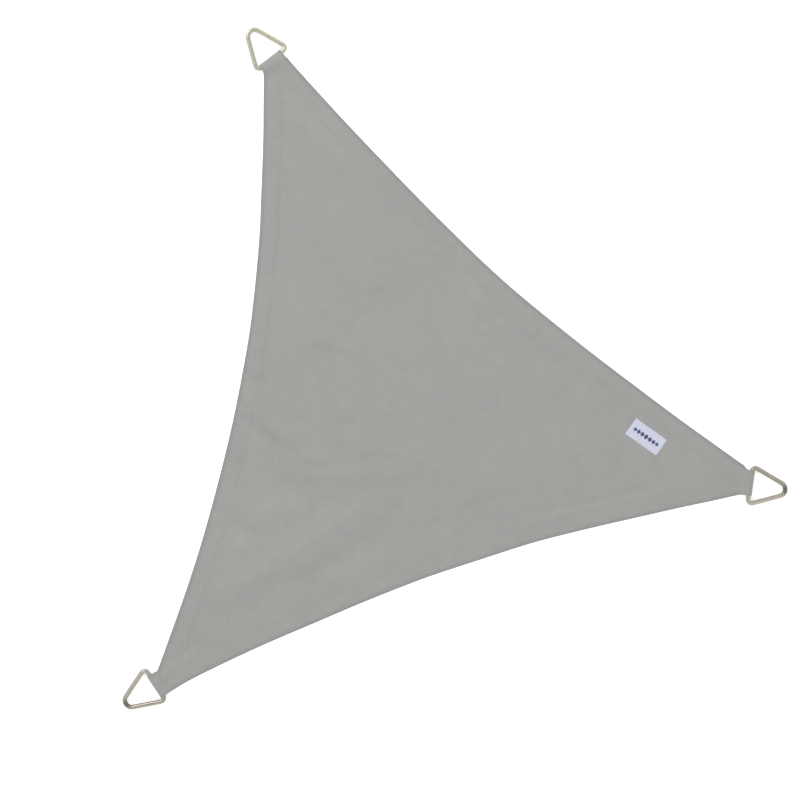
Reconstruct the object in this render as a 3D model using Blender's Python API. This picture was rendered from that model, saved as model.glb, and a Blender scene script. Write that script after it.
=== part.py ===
"""Triangular shade sail of knitted cloth with a bent steel ring in each corner, lying flat.

Metres, +Z up. The lower edge runs along +X and the third corner points to +Y. The cloth lies on
z = 0, and the origin is under the middle of the whole sail.

The sail is drawn on a plan of its own first, whose origin is the point that the cloth's left
corner would reach if its two edges ran on past the ring. An empty carries every piece from there.
"""

import math
from collections import namedtuple

import bmesh
import bpy
from mathutils import Matrix, Vector
from mathutils.geometry import barycentric_transform

# The triangle through the points that the three long edges run to.
SIDE_LOWER = 1.942
SIDE_RIGHT = 2.016
SIDE_LEFT = 1.986

# The long edges, counter-clockwise: how far each curves inward, and how far to its end it leans.
Edge = namedtuple("Edge", "start end bow lean")
EDGES = (
    Edge("left", "right", bow=0.086, lean=0.06),
    Edge("right", "top", bow=0.083, lean=-0.03),
    Edge("top", "left", bow=0.1222, lean=-0.03),
)

# How unevenly the long edges run: by the edge's start, at a share of its way, out from its curve.
Wave = namedtuple("Wave", "start at width out")
WAVES = (
    Wave("left", at=0.03, width=0.03, out=0.0065),
    Wave("left", at=0.28, width=0.07, out=0.0026),
    Wave("left", at=0.46, width=0.05, out=-0.0016),
    Wave("left", at=0.62, width=0.05, out=-0.0020),
    Wave("left", at=0.78, width=0.08, out=0.0030),
    Wave("left", at=0.95, width=0.04, out=-0.0050),
    Wave("right", at=0.05, width=0.05, out=-0.0035),
    Wave("right", at=0.25, width=0.09, out=0.0026),
    Wave("right", at=0.50, width=0.09, out=-0.0042),
    Wave("right", at=0.74, width=0.08, out=0.0018),
    Wave("right", at=0.94, width=0.06, out=-0.0028),
    Wave("top", at=0.05, width=0.05, out=-0.0055),
    Wave("top", at=0.23, width=0.06, out=0.0026),
    Wave("top", at=0.44, width=0.05, out=-0.0016),
    Wave("top", at=0.67, width=0.07, out=0.0012),
    Wave("top", at=0.95, width=0.04, out=-0.0025),
)

# Where each ring points, in degrees from +X, how far back its bar lies from the triangle's point,
# how far the bar's middle lies aside, and how far the cloth's pocket reaches to either side of it.
Corner = namedtuple("Corner", "heading setback aside pocket_right pocket_left")
CORNERS = {
    "left": Corner(heading=195.2, setback=0.065, aside=0.028, pocket_right=0.030, pocket_left=0.042),
    "right": Corner(heading=-26.5, setback=0.099, aside=0.001, pocket_right=0.030, pocket_left=0.042),
    "top": Corner(heading=109.2, setback=0.107, aside=-0.035, pocket_right=0.034, pocket_left=0.042),
}

# Cloth.
CLOTH = 0.0015
HEM = 0.058
SEAM_STEP = 0.003
HEM_MIDDLE = 0.030
EDGE_ROUND = 0.003
EDGE_TUCK = 0.0007
ROWS = 54

# Rings: wire, outer sizes and the bends of the wire's middle line.
WIRE = 0.013
RING_WIDTH = 0.1145
RING_HEIGHT = 0.115
BASE_BEND = 0.010
TIP_BEND = 0.020
BEND_STEPS = 13
WIRE_SIDES_RESOLUTION = 4
FACET_TURN = math.radians(15)

# Pockets: the room round the bar, and how far behind it the two layers are sewn together.
PIECE_GAP = 0.0004
POCKET_ROOT = 0.024
ROOT_SEWN = 0.001
NOSE_STEPS = 5
NOSE_END = math.radians(20)
TUNNEL = WIRE / 2 + PIECE_GAP
TUNNEL_SEGMENTS = 24
TUNNEL_LENGTH = 0.16
BAR_HEIGHT = CLOTH + TUNNEL

# Label, sewn on beside the hem near the right corner.
LABEL_LENGTH = 0.109
LABEL_WIDTH = 0.055
LABEL_THICK = 0.001
LABEL_GAP = 0.0003
LABEL_AT = Vector((1.615, 0.269))
LABEL_TURN = math.radians(-54)
LABEL_FLAT = (0.08, 0.15)

# Where the cloth lifts off the surface: over broad swells, and along folds. A fold of negative
# height is a trough. A fold runs from its start to its end, bent aside in the middle by its bend.
# Cloth that would lift less than the least lift lies flat on the surface.
LIFT_FADE = (0.015, 0.080)
LEAST_LIFT = 0.0006
FOLD_END = 0.2
Swell = namedtuple("Swell", "x y radius height")
SWELLS = (
    Swell(0.56, 0.33, radius=0.30, height=0.0050),
    Swell(0.82, 0.52, radius=0.30, height=0.0030),
    Swell(1.25, 0.42, radius=0.28, height=0.0022),
    Swell(0.95, 1.02, radius=0.30, height=0.0018),
)
Fold = namedtuple("Fold", "x0 y0 x1 y1 bend width height")
FOLDS = (
    Fold(0.30, 0.19, 0.86, 0.29, bend=-0.030, width=0.034, height=-0.0045),
    Fold(0.31, 0.24, 0.78, 0.36, bend=0.000, width=0.030, height=0.0040),
    Fold(0.60, 0.17, 0.84, 0.21, bend=-0.004, width=0.026, height=0.0038),
    Fold(0.47, 0.43, 0.64, 0.38, bend=0.006, width=0.034, height=0.0028),
    Fold(0.53, 0.71, 0.68, 0.54, bend=-0.010, width=0.024, height=-0.0024),
    Fold(0.57, 0.49, 0.99, 0.34, bend=-0.012, width=0.022, height=-0.0026),
    Fold(0.60, 0.52, 0.96, 0.38, bend=-0.010, width=0.026, height=0.0020),
    Fold(0.75, 0.84, 0.92, 0.73, bend=0.018, width=0.026, height=0.0020),
    Fold(0.82, 0.52, 0.95, 0.61, bend=0.000, width=0.024, height=0.0018),
    Fold(0.90, 0.24, 1.25, 0.26, bend=-0.006, width=0.022, height=-0.0018),
    Fold(1.22, 0.15, 1.55, 0.13, bend=0.002, width=0.022, height=0.0020),
    Fold(0.93, 1.58, 1.10, 1.18, bend=0.010, width=0.026, height=0.0026),
    Fold(1.30, 0.84, 1.54, 0.44, bend=-0.012, width=0.030, height=0.0024),
    Fold(1.18, 1.00, 1.24, 0.92, bend=0.000, width=0.022, height=0.0014),
)

# What each material looks like: colour, roughness, metallic.
CLOTH_LOOK = ((0.36, 0.36, 0.345), 0.9, 0.0)
STEEL_LOOK = ((0.72, 0.69, 0.63), 0.28, 1.0)
LABEL_LOOK = ((0.86, 0.86, 0.90), 0.8, 0.0)


def clear_scene():
    for thing in list(bpy.data.objects):
        bpy.data.objects.remove(thing, do_unlink=True)


def new_collection(name):
    collection = bpy.data.collections.new(name)
    bpy.context.scene.collection.children.link(collection)
    return collection


def new_material(name, look):
    colour, roughness, metallic = look
    material = bpy.data.materials.new(name)
    material.use_nodes = True
    shader = material.node_tree.nodes["Principled BSDF"]
    shader.inputs["Base Color"].default_value = (*colour, 1.0)
    shader.inputs["Roughness"].default_value = roughness
    shader.inputs["Metallic"].default_value = metallic
    material.diffuse_color = (*colour, 1.0)
    return material


def mesh_object(name, bm, collection):
    mesh = bpy.data.meshes.new(name)
    bm.to_mesh(mesh)
    bm.free()
    piece = bpy.data.objects.new(name, mesh)
    collection.objects.link(piece)
    return piece


def smoothstep(value, low, high):
    share = min(max((value - low) / (high - low), 0.0), 1.0)
    return share * share * (3.0 - 2.0 * share)


def triangle_points():
    """The three points that the long edges run to, from the lengths of the sides."""
    along = (SIDE_LOWER**2 + SIDE_LEFT**2 - SIDE_RIGHT**2) / (2.0 * SIDE_LOWER)
    return {
        "left": Vector((0.0, 0.0)),
        "right": Vector((SIDE_LOWER, 0.0)),
        "top": Vector((along, math.sqrt(SIDE_LEFT**2 - along**2))),
    }


POINTS = triangle_points()


def bow_of(edge, share):
    """How far inward of its chord an edge lies, and how fast that changes with its share."""
    arch = 4.0 * share * (1.0 - share)
    tilt = 1.0 + edge.lean * (2.0 * share - 1.0)
    bow = edge.bow * arch * tilt
    slope = edge.bow * (4.0 * (1.0 - 2.0 * share) * tilt + 2.0 * edge.lean * arch)
    for wave in WAVES:
        if wave.start == edge.start:
            away = (share - wave.at) / wave.width
            rise = wave.out * math.exp(-(away**2))
            bow -= rise
            slope += 2.0 * away * rise / wave.width
    return bow, slope


def edge_frame(edge, share):
    """An edge's point at a share of its way, its direction there, and the way inward."""
    chord = POINTS[edge.end] - POINTS[edge.start]
    inward = Vector((-chord.y, chord.x)).normalized()
    bow, slope = bow_of(edge, share)
    direction = chord + inward * slope
    return (
        POINTS[edge.start] + chord * share + inward * bow,
        direction,
        Vector((-direction.y, direction.x)).normalized(),
    )


def half_opening(name):
    """Half of the angle between the two long edges that meet at a corner."""
    leaving = next(edge for edge in EDGES if edge.start == name)
    arriving = next(edge for edge in EDGES if edge.end == name)
    out = edge_frame(leaving, 0.0)[1]
    back = -edge_frame(arriving, 1.0)[1]
    return out.angle(back) / 2.0


def hem_point(edge, share, inset):
    """A point on the line that lies inset from an edge, between the mitres at its two ends."""
    start, end = (
        inset / (math.tan(half_opening(name)) * edge_frame(edge, at)[1].length)
        for name, at in ((edge.start, 0.0), (edge.end, 1.0))
    )
    place, _, inward = edge_frame(edge, start + (1.0 - start - end) * share)
    return place + inward * inset


def mitre_point(name, inset):
    """Where the two lines that lie inset from a corner's edges meet."""
    leaving = next(edge for edge in EDGES if edge.start == name)
    arriving = next(edge for edge in EDGES if edge.end == name)
    return (hem_point(leaving, 0.0, inset) + hem_point(arriving, 1.0, inset)) / 2.0


def border_point(shares, inset):
    """A point of the cloth's border rows, from its shares of the left, right and top corners."""
    names = ("left", "right", "top")
    for name, share in zip(names, shares):
        if share > 1.0 - 1e-4:
            return mitre_point(name, inset)
    shares = dict(zip(names, shares))
    edge = min(EDGES, key=lambda e: 1.0 - shares[e.start] - shares[e.end])
    return hem_point(edge, shares[edge.end] / (shares[edge.start] + shares[edge.end]), inset)


def panel_point(shares):
    """A point of the panel inside the hems: the flat triangle, drawn in along its three sides."""
    tips = {name: mitre_point(name, HEM) for name in ("left", "right", "top")}
    shares = dict(zip(("left", "right", "top"), shares))
    place = sum((tips[name] * share for name, share in shares.items()), Vector((0.0, 0.0)))
    for edge in EDGES:
        near = shares[edge.start] + shares[edge.end]
        if near > 1e-4:
            along = shares[edge.end] / near
            straight = tips[edge.start].lerp(tips[edge.end], along)
            drawn = hem_point(edge, along, HEM) - straight
            ends = (tips[edge.start] - hem_point(edge, 0.0, HEM)).lerp(
                tips[edge.end] - hem_point(edge, 1.0, HEM), along
            )
            place += (drawn + ends) * near**2
    return place


def depth_inside(place):
    """How far a point lies inside the nearest long edge."""
    depths = []
    for edge in EDGES:
        start = POINTS[edge.start]
        chord = POINTS[edge.end] - start
        inward = Vector((-chord.y, chord.x)).normalized()
        bow, slope = bow_of(edge, (place - start).dot(chord) / chord.length_squared)
        depths.append(((place - start).dot(inward) - bow) / math.hypot(1.0, slope / chord.length))
    return min(depths)


def fold_height(fold, place):
    """The height that one fold adds at a place: a soft ridge or trough, fading to its ends."""
    start = Vector((fold.x0, fold.y0))
    run = Vector((fold.x1, fold.y1)) - start
    share = (place - start).dot(run) / run.length_squared
    inside = min(max(share, 0.0), 1.0)
    aside = Vector((-run.y, run.x)).normalized()
    middle = start + run * inside + aside * fold.bend * 4.0 * inside * (1.0 - inside)
    fade = smoothstep(share, -FOLD_END, FOLD_END) * smoothstep(1.0 - share, -FOLD_END, FOLD_END)
    return fold.height * fade * math.exp(-(((place - middle).length / fold.width) ** 2))


def lift(place):
    """How far the cloth's underside lies above the surface."""
    height = sum(fold_height(fold, place) for fold in FOLDS)
    for swell in SWELLS:
        away = (place - Vector((swell.x, swell.y))).length / swell.radius
        height += swell.height * math.exp(-(away**2))
    height *= smoothstep(depth_inside(place), *LIFT_FADE)
    height *= smoothstep((place - LABEL_AT).length, *LABEL_FLAT)
    return max(height - LEAST_LIFT, 0.0)


def corner_frame(name):
    """The middle of a corner's ring bar, the way its ring points, and the way to its left."""
    corner = CORNERS[name]
    ahead = Vector((math.cos(math.radians(corner.heading)), math.sin(math.radians(corner.heading))))
    left = Vector((-ahead.y, ahead.x))
    return POINTS[name] - ahead * corner.setback - left * corner.aside, ahead, left


def panel_mesh(shares):
    """The panel inside the hems: a triangle cut into rows. Each point keeps its shares."""
    bm = bmesh.new()
    kept = bm.verts.layers.float_vector.new(shares)
    bmesh.ops.create_circle(bm, cap_ends=True, segments=3, radius=1.0)
    bm.faces.ensure_lookup_table()
    tips = [vert.co.copy() for vert in bm.faces[0].verts]
    bmesh.ops.subdivide_edges(bm, edges=bm.edges[:], cuts=ROWS - 1, use_grid_fill=True)
    for vert in bm.verts:
        vert[kept] = barycentric_transform(vert.co, *tips, *Matrix.Identity(3))
    return bm


def cloth_mesh():
    """The whole cloth as one closed shell, with its hems and its pockets' outsides."""
    bm = panel_mesh("shares")
    shares = bm.verts.layers.float_vector["shares"]
    low = bm.verts.layers.float.new("low")
    high = bm.verts.layers.float.new("high")
    for vert in bm.verts:
        vert.co = (*panel_point(vert[shares]), 0.0)
        vert[high] = CLOTH

    # The hems: rows extruded outward from the panel, two layers thick, with a rounded outer fold.
    rows = (
        (HEM - SEAM_STEP, 0.0, 2.0 * CLOTH),
        (HEM_MIDDLE, 0.0, 2.0 * CLOTH),
        (EDGE_ROUND, 0.0, 2.0 * CLOTH),
        (0.0, EDGE_TUCK, 2.0 * CLOTH - EDGE_TUCK),
    )
    border = [edge for edge in bm.edges if edge.is_boundary]
    for inset, bottom, top in rows:
        made = bmesh.ops.extrude_edge_only(bm, edges=border)["geom"]
        border = [item for item in made if isinstance(item, bmesh.types.BMEdge)]
        for vert in (item for item in made if isinstance(item, bmesh.types.BMVert)):
            vert.co = (*border_point(vert[shares], inset), 0.0)
            vert[low], vert[high] = bottom, top
    for vert in bm.verts:
        height = lift(vert.co.xy)
        vert[low] += height
        vert[high] += height

    for name in CORNERS:
        add_pocket(bm, name, low, high)

    # Both sides: the sheet so far is the underside, and its copy is the top.
    made = bmesh.ops.extrude_face_region(bm, geom=bm.faces[:])["geom"]
    tops = {item for item in made if isinstance(item, bmesh.types.BMVert)}
    for vert in bm.verts:
        vert.co.z = vert[high] if vert in tops else vert[low]
    bmesh.ops.recalc_face_normals(bm, faces=bm.faces[:])
    return bm


def nose_rows():
    """The pocket's rows past its sewn root: how far out each lies, and its low and high sides."""
    outer = TUNNEL + CLOTH
    first = math.pi / 2.0 + 2.0 * math.atan2(TUNNEL, POCKET_ROOT)
    for step in range(NOSE_STEPS):
        angle = first + (NOSE_END - first) * step / (NOSE_STEPS - 1)
        top = BAR_HEIGHT + outer * math.sin(angle)
        bottom = 0.0 if math.cos(angle) < 0.0 else BAR_HEIGHT - outer * math.sin(angle)
        yield outer * math.cos(angle), bottom, top


def add_pocket(bm, name, low, high):
    """Cuts a corner off behind its ring's bar and extrudes the pocket that wraps the bar."""
    corner = CORNERS[name]
    bar, ahead, left = corner_frame(name)
    cut = bmesh.ops.bisect_plane(
        bm,
        geom=bm.verts[:] + bm.edges[:] + bm.faces[:],
        dist=1e-5,
        plane_co=(*(bar - ahead * POCKET_ROOT), 0.0),
        plane_no=(*ahead, 0.0),
        clear_outer=True,
    )["geom_cut"]
    row = [item for item in cut if isinstance(item, bmesh.types.BMEdge)]
    sides = [(vert.co.xy - bar).dot(left) for edge in row for vert in edge.verts]
    right_end, left_end = min(sides), max(sides)
    for reach, bottom, top in nose_rows():
        made = bmesh.ops.extrude_edge_only(bm, edges=row)["geom"]
        row = [item for item in made if isinstance(item, bmesh.types.BMEdge)]
        for vert in (item for item in made if isinstance(item, bmesh.types.BMVert)):
            share = ((vert.co.xy - bar).dot(left) - right_end) / (left_end - right_end)
            side = -corner.pocket_right + share * (corner.pocket_right + corner.pocket_left)
            vert.co = (*(bar + ahead * reach + left * side), 0.0)
            vert[low], vert[high] = bottom, top
        right_end, left_end = -corner.pocket_right, corner.pocket_left


def pocket_cutter(name, collection):
    """The room inside a pocket: round in front of the bar, closing to the sewn root behind it."""
    bm = bmesh.new()
    bmesh.ops.create_cone(
        bm,
        cap_ends=True,
        segments=TUNNEL_SEGMENTS,
        radius1=TUNNEL,
        radius2=TUNNEL,
        depth=TUNNEL_LENGTH,
        matrix=Matrix.Rotation(math.pi / 2.0, 4, "X"),
    )
    for side in (-TUNNEL_LENGTH / 2.0, TUNNEL_LENGTH / 2.0):
        bmesh.ops.create_vert(bm, co=(ROOT_SEWN - POCKET_ROOT, side, -TUNNEL))
    bmesh.ops.delete(bm, geom=bm.edges[:] + bm.faces[:], context="EDGES_FACES")
    bmesh.ops.convex_hull(bm, input=bm.verts[:])
    cutter = mesh_object(f"pocket_room_{name}", bm, collection)
    cutter.hide_render = True
    cutter.display_type = "WIRE"
    place_at_bar(cutter, name, pitch=0.0)
    return cutter


def place_at_bar(piece, name, pitch):
    """Puts a piece whose origin is a ring bar's middle, and whose +X points out, at a corner."""
    bar = corner_frame(name)[0]
    piece.location = (*bar, BAR_HEIGHT)
    piece.rotation_euler = (0.0, pitch, math.radians(CORNERS[name].heading))


def belt_line(pulleys):
    """The closed line round the pulleys, counter-clockwise: arcs joined by straight runs."""
    leaving = []
    for index, (x, y, radius) in enumerate(pulleys):
        next_x, next_y, next_radius = pulleys[(index + 1) % len(pulleys)]
        span = math.hypot(next_x - x, next_y - y)
        heading = math.atan2(next_y - y, next_x - x)
        leaving.append(heading - math.acos((radius - next_radius) / span))
    for index, (x, y, radius) in enumerate(pulleys):
        sweep = (leaving[index] - leaving[index - 1]) % math.tau
        for step in range(BEND_STEPS + 1):
            angle = leaving[index - 1] + sweep * step / BEND_STEPS
            yield x + radius * math.cos(angle), y + radius * math.sin(angle)


def make_ring(name, material, collection):
    """A ring bent from round wire: a bar across its base, and two legs that meet at its tip."""
    half_bar = (RING_WIDTH - WIRE) / 2.0 - BASE_BEND
    line = list(
        belt_line(
            (
                (BASE_BEND, -half_bar, BASE_BEND),
                (RING_HEIGHT - WIRE - TIP_BEND, 0.0, TIP_BEND),
                (BASE_BEND, half_bar, BASE_BEND),
            )
        )
    )
    curve = bpy.data.curves.new(f"ring_{name}", "CURVE")
    curve.dimensions = "3D"
    curve.bevel_depth = WIRE / 2.0
    curve.bevel_resolution = WIRE_SIDES_RESOLUTION
    spline = curve.splines.new("POLY")
    spline.points.add(len(line) - 1)
    for point, (x, y) in zip(spline.points, line):
        point.co = (x, y, 0.0, 1.0)
        point.tilt = FACET_TURN
    spline.use_cyclic_u = True
    spline.use_smooth = True
    curve.materials.append(material)
    ring = bpy.data.objects.new(f"ring_{name}", curve)
    collection.objects.link(ring)
    tip_drop = BAR_HEIGHT - WIRE / 2.0
    place_at_bar(ring, name, pitch=math.asin(tip_drop / (RING_HEIGHT - WIRE)))
    return ring


def make_cloth(material, collection, cutters):
    cloth = mesh_object("sail_cloth", cloth_mesh(), collection)
    cloth.data.materials.append(material)
    cloth.data.shade_smooth()
    cloth.data.set_sharp_from_angle(angle=math.radians(40))
    for name in CORNERS:
        room = cloth.modifiers.new(f"pocket {name}", "BOOLEAN")
        room.operation = "DIFFERENCE"
        room.solver = "EXACT"
        room.object = pocket_cutter(name, cutters)
    return cloth


def make_label(material, collection):
    bm = bmesh.new()
    bmesh.ops.create_cube(bm, size=1.0)
    bmesh.ops.scale(bm, vec=(LABEL_LENGTH, LABEL_WIDTH, LABEL_THICK), verts=bm.verts[:])
    label = mesh_object("label", bm, collection)
    label.data.materials.append(material)
    label.location = (*LABEL_AT, CLOTH + LABEL_GAP + LABEL_THICK / 2.0)
    label.rotation_euler = (0.0, 0.0, LABEL_TURN)
    return label


def outer_points(pieces):
    """Every point of the finished pieces, in the world."""
    bpy.context.view_layer.update()
    graph = bpy.context.evaluated_depsgraph_get()
    for piece in pieces:
        finished = piece.evaluated_get(graph)
        mesh = finished.to_mesh()
        yield from [finished.matrix_world @ vert.co for vert in mesh.vertices]
        finished.to_mesh_clear()


def carry(pieces, collection):
    """Hangs every piece on one empty, and moves it so that the sail's middle is over the origin."""
    places = list(outer_points(pieces))
    carrier = bpy.data.objects.new("shade_sail_origin", None)
    collection.objects.link(carrier)
    for piece in [*pieces, *bpy.data.collections["pocket_rooms"].objects]:
        piece.parent = carrier
    carrier.location = [
        -(min(place[axis] for place in places) + max(place[axis] for place in places)) / 2.0
        for axis in (0, 1)
    ] + [0.0]


def build():
    clear_scene()
    collection = new_collection("shade_sail")
    cutters = new_collection("pocket_rooms")
    steel = new_material("ring steel", STEEL_LOOK)
    pieces = [make_cloth(new_material("sail cloth", CLOTH_LOOK), collection, cutters)]
    pieces += [make_ring(name, steel, collection) for name in CORNERS]
    pieces.append(make_label(new_material("woven label", LABEL_LOOK), collection))
    carry(pieces, collection)


build()
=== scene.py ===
import math
from functools import cache

import bmesh
import bpy
import numpy as np
from mathutils import Matrix, Vector, noise
from mathutils.geometry import barycentric_transform


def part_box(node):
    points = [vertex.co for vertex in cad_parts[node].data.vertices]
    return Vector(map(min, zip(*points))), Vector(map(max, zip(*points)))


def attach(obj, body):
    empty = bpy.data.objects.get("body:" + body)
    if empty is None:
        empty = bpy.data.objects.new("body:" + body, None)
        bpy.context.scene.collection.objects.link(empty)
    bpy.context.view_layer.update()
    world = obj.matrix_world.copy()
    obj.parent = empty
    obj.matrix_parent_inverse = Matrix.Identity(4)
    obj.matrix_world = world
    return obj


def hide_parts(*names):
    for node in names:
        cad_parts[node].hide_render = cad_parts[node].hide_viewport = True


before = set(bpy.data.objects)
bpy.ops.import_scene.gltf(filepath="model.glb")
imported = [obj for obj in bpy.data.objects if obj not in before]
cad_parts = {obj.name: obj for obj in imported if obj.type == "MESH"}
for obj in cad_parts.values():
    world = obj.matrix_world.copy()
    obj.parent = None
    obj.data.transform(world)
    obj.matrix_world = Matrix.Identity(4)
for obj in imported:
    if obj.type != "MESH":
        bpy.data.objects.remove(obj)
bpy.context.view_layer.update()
print("frame loaded:", ", ".join(sorted(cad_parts)))

cornerNames = ("left", "right", "top")

# everything is in metres on the sail's own plan: the lower chord runs along x from the left
# corner's point, and the top corner is towards +y
outline = {
    "lowerSide": 1.942,
    "rightSide": 2.016,
    "leftSide": 1.986,
    # start corner: end corner, bow inward, lean towards the end
    "edges": {
        "left": ("right", 0.086, 0.06),
        "right": ("top", 0.083, -0.03),
        "top": ("left", 0.1222, -0.03),
    },
    # start corner of the edge, share of its way, width, how far out of its curve
    "waves": (
        ("left", 0.03, 0.03, 0.0065),
        ("left", 0.28, 0.07, 0.0026),
        ("left", 0.46, 0.05, -0.0016),
        ("left", 0.62, 0.05, -0.0020),
        ("left", 0.78, 0.08, 0.0030),
        ("left", 0.95, 0.04, -0.0050),
        ("right", 0.05, 0.05, -0.0035),
        ("right", 0.25, 0.09, 0.0026),
        ("right", 0.50, 0.09, -0.0042),
        ("right", 0.74, 0.08, 0.0018),
        ("right", 0.94, 0.06, -0.0028),
        ("top", 0.05, 0.05, -0.0055),
        ("top", 0.23, 0.06, 0.0026),
        ("top", 0.44, 0.05, -0.0016),
        ("top", 0.67, 0.07, 0.0012),
        ("top", 0.95, 0.04, -0.0025),
    ),
    # corner: heading of its ring, bar's setback and shift aside, pocket's reach right and left
    "corners": {
        "left": (195.2, 0.065, 0.028, 0.030, 0.042),
        "right": (-26.5, 0.099, 0.001, 0.030, 0.042),
        "top": (109.2, 0.107, -0.035, 0.034, 0.042),
    },
    "labelAt": (1.615, 0.269),
    "labelTurn": -54.0,
}

low, high = (Vector(corner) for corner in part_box("label"))
planShift = (low + high).xy / 2 - Vector(outline["labelAt"])  # plan to frame


def cornerPoints():
    lower, right, left = outline["lowerSide"], outline["rightSide"], outline["leftSide"]
    along = (lower**2 + left**2 - right**2) / (2 * lower)
    return {
        "left": np.array((0.0, 0.0)),
        "right": np.array((lower, 0.0)),
        "top": np.array((along, math.sqrt(left**2 - along**2))),
    }


points = cornerPoints()


def bowOf(start, share):
    bow, lean = outline["edges"][start][1:]
    arch = 4 * share * (1 - share)
    tilt = 1 + lean * (2 * share - 1)
    inward = bow * arch * tilt
    slope = bow * (4 * (1 - 2 * share) * tilt + 2 * lean * arch)
    for edge, at, width, out in outline["waves"]:
        if edge == start:
            away = (share - at) / width
            rise = out * np.exp(-(away**2))
            inward = inward - rise
            slope = slope + 2 * away * rise / width
    return inward, slope


def edgeFrame(start, share):  # points, directions and inward ways along a long edge
    share = np.atleast_1d(np.asarray(share, dtype=float))
    chord = points[outline["edges"][start][0]] - points[start]
    across = np.array((-chord[1], chord[0])) / np.linalg.norm(chord)
    inward, slope = bowOf(start, share)
    direction = chord + slope[:, None] * across
    place = points[start] + share[:, None] * chord + inward[:, None] * across
    normal = np.stack((-direction[:, 1], direction[:, 0]), axis=1)
    return place, direction, normal / np.linalg.norm(normal, axis=1)[:, None]


def arrivingEdge(corner):
    return next(start for start, edge in outline["edges"].items() if edge[0] == corner)


@cache
def mitre(corner, inset):  # where the lines inset from a corner's edges meet: share of each
    arriving = arrivingEdge(corner)
    shares = np.array((0.0, 1.0))
    for _ in range(8):
        place, direction, inward = (
            np.concatenate(pair)
            for pair in zip(edgeFrame(corner, shares[0]), edgeFrame(arriving, shares[1]))
        )
        gap = np.diff(place + inward * inset, axis=0)[0]
        shares += np.linalg.solve(np.stack((direction[0], -direction[1]), axis=1), gap)
    return shares


def hemPoint(start, share, inset):  # on the line inset from an edge, between its mitres
    first, last = mitre(start, inset)[0], mitre(outline["edges"][start][0], inset)[1]
    place, _, inward = edgeFrame(start, first + (last - first) * np.atleast_1d(share))
    return place + inward * inset


def mitrePoint(corner, inset):
    return hemPoint(corner, 0.0, inset)[0]


def borderPoint(shares, inset):  # shares is one row of left, right, top for each point
    place = np.zeros((len(shares), 2))
    for start, edge in outline["edges"].items():
        a, b = cornerNames.index(start), cornerNames.index(edge[0])
        near = shares[:, a] + shares[:, b]
        on = near > 1 - 1e-4
        place[on] = hemPoint(start, shares[on, b] / near[on], inset)
    for index, corner in enumerate(cornerNames):
        place[shares[:, index] > 1 - 1e-4] = mitrePoint(corner, inset)
    return place


def panelPoint(shares, hem):  # the flat triangle, drawn in along its three sides
    tips = {corner: mitrePoint(corner, hem) for corner in cornerNames}
    place = sum(shares[:, [i]] * tips[corner] for i, corner in enumerate(cornerNames))
    for start, edge in outline["edges"].items():
        a, b = cornerNames.index(start), cornerNames.index(edge[0])
        near = shares[:, a] + shares[:, b]
        some = near > 1e-4
        along = (shares[some, b] / near[some])[:, None]
        straight = tips[start] * (1 - along) + tips[edge[0]] * along
        drawn = hemPoint(start, along[:, 0], hem) - straight
        place[some] += drawn * near[some, None] ** 2
    return place


def depthInside(place):  # how far inside the nearest long edge
    depths = []
    for start, edge in outline["edges"].items():
        chord = points[edge[0]] - points[start]
        length = np.linalg.norm(chord)
        across = np.array((-chord[1], chord[0])) / length
        away = place - points[start]
        inward, slope = bowOf(start, away @ chord / length**2)
        depths.append((away @ across - inward) / np.hypot(1, slope / length))
    return np.min(depths, axis=0)


def smoothstep(value, start, end):
    share = np.clip((value - start) / (end - start), 0, 1)
    return share * share * (3 - 2 * share)


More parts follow.
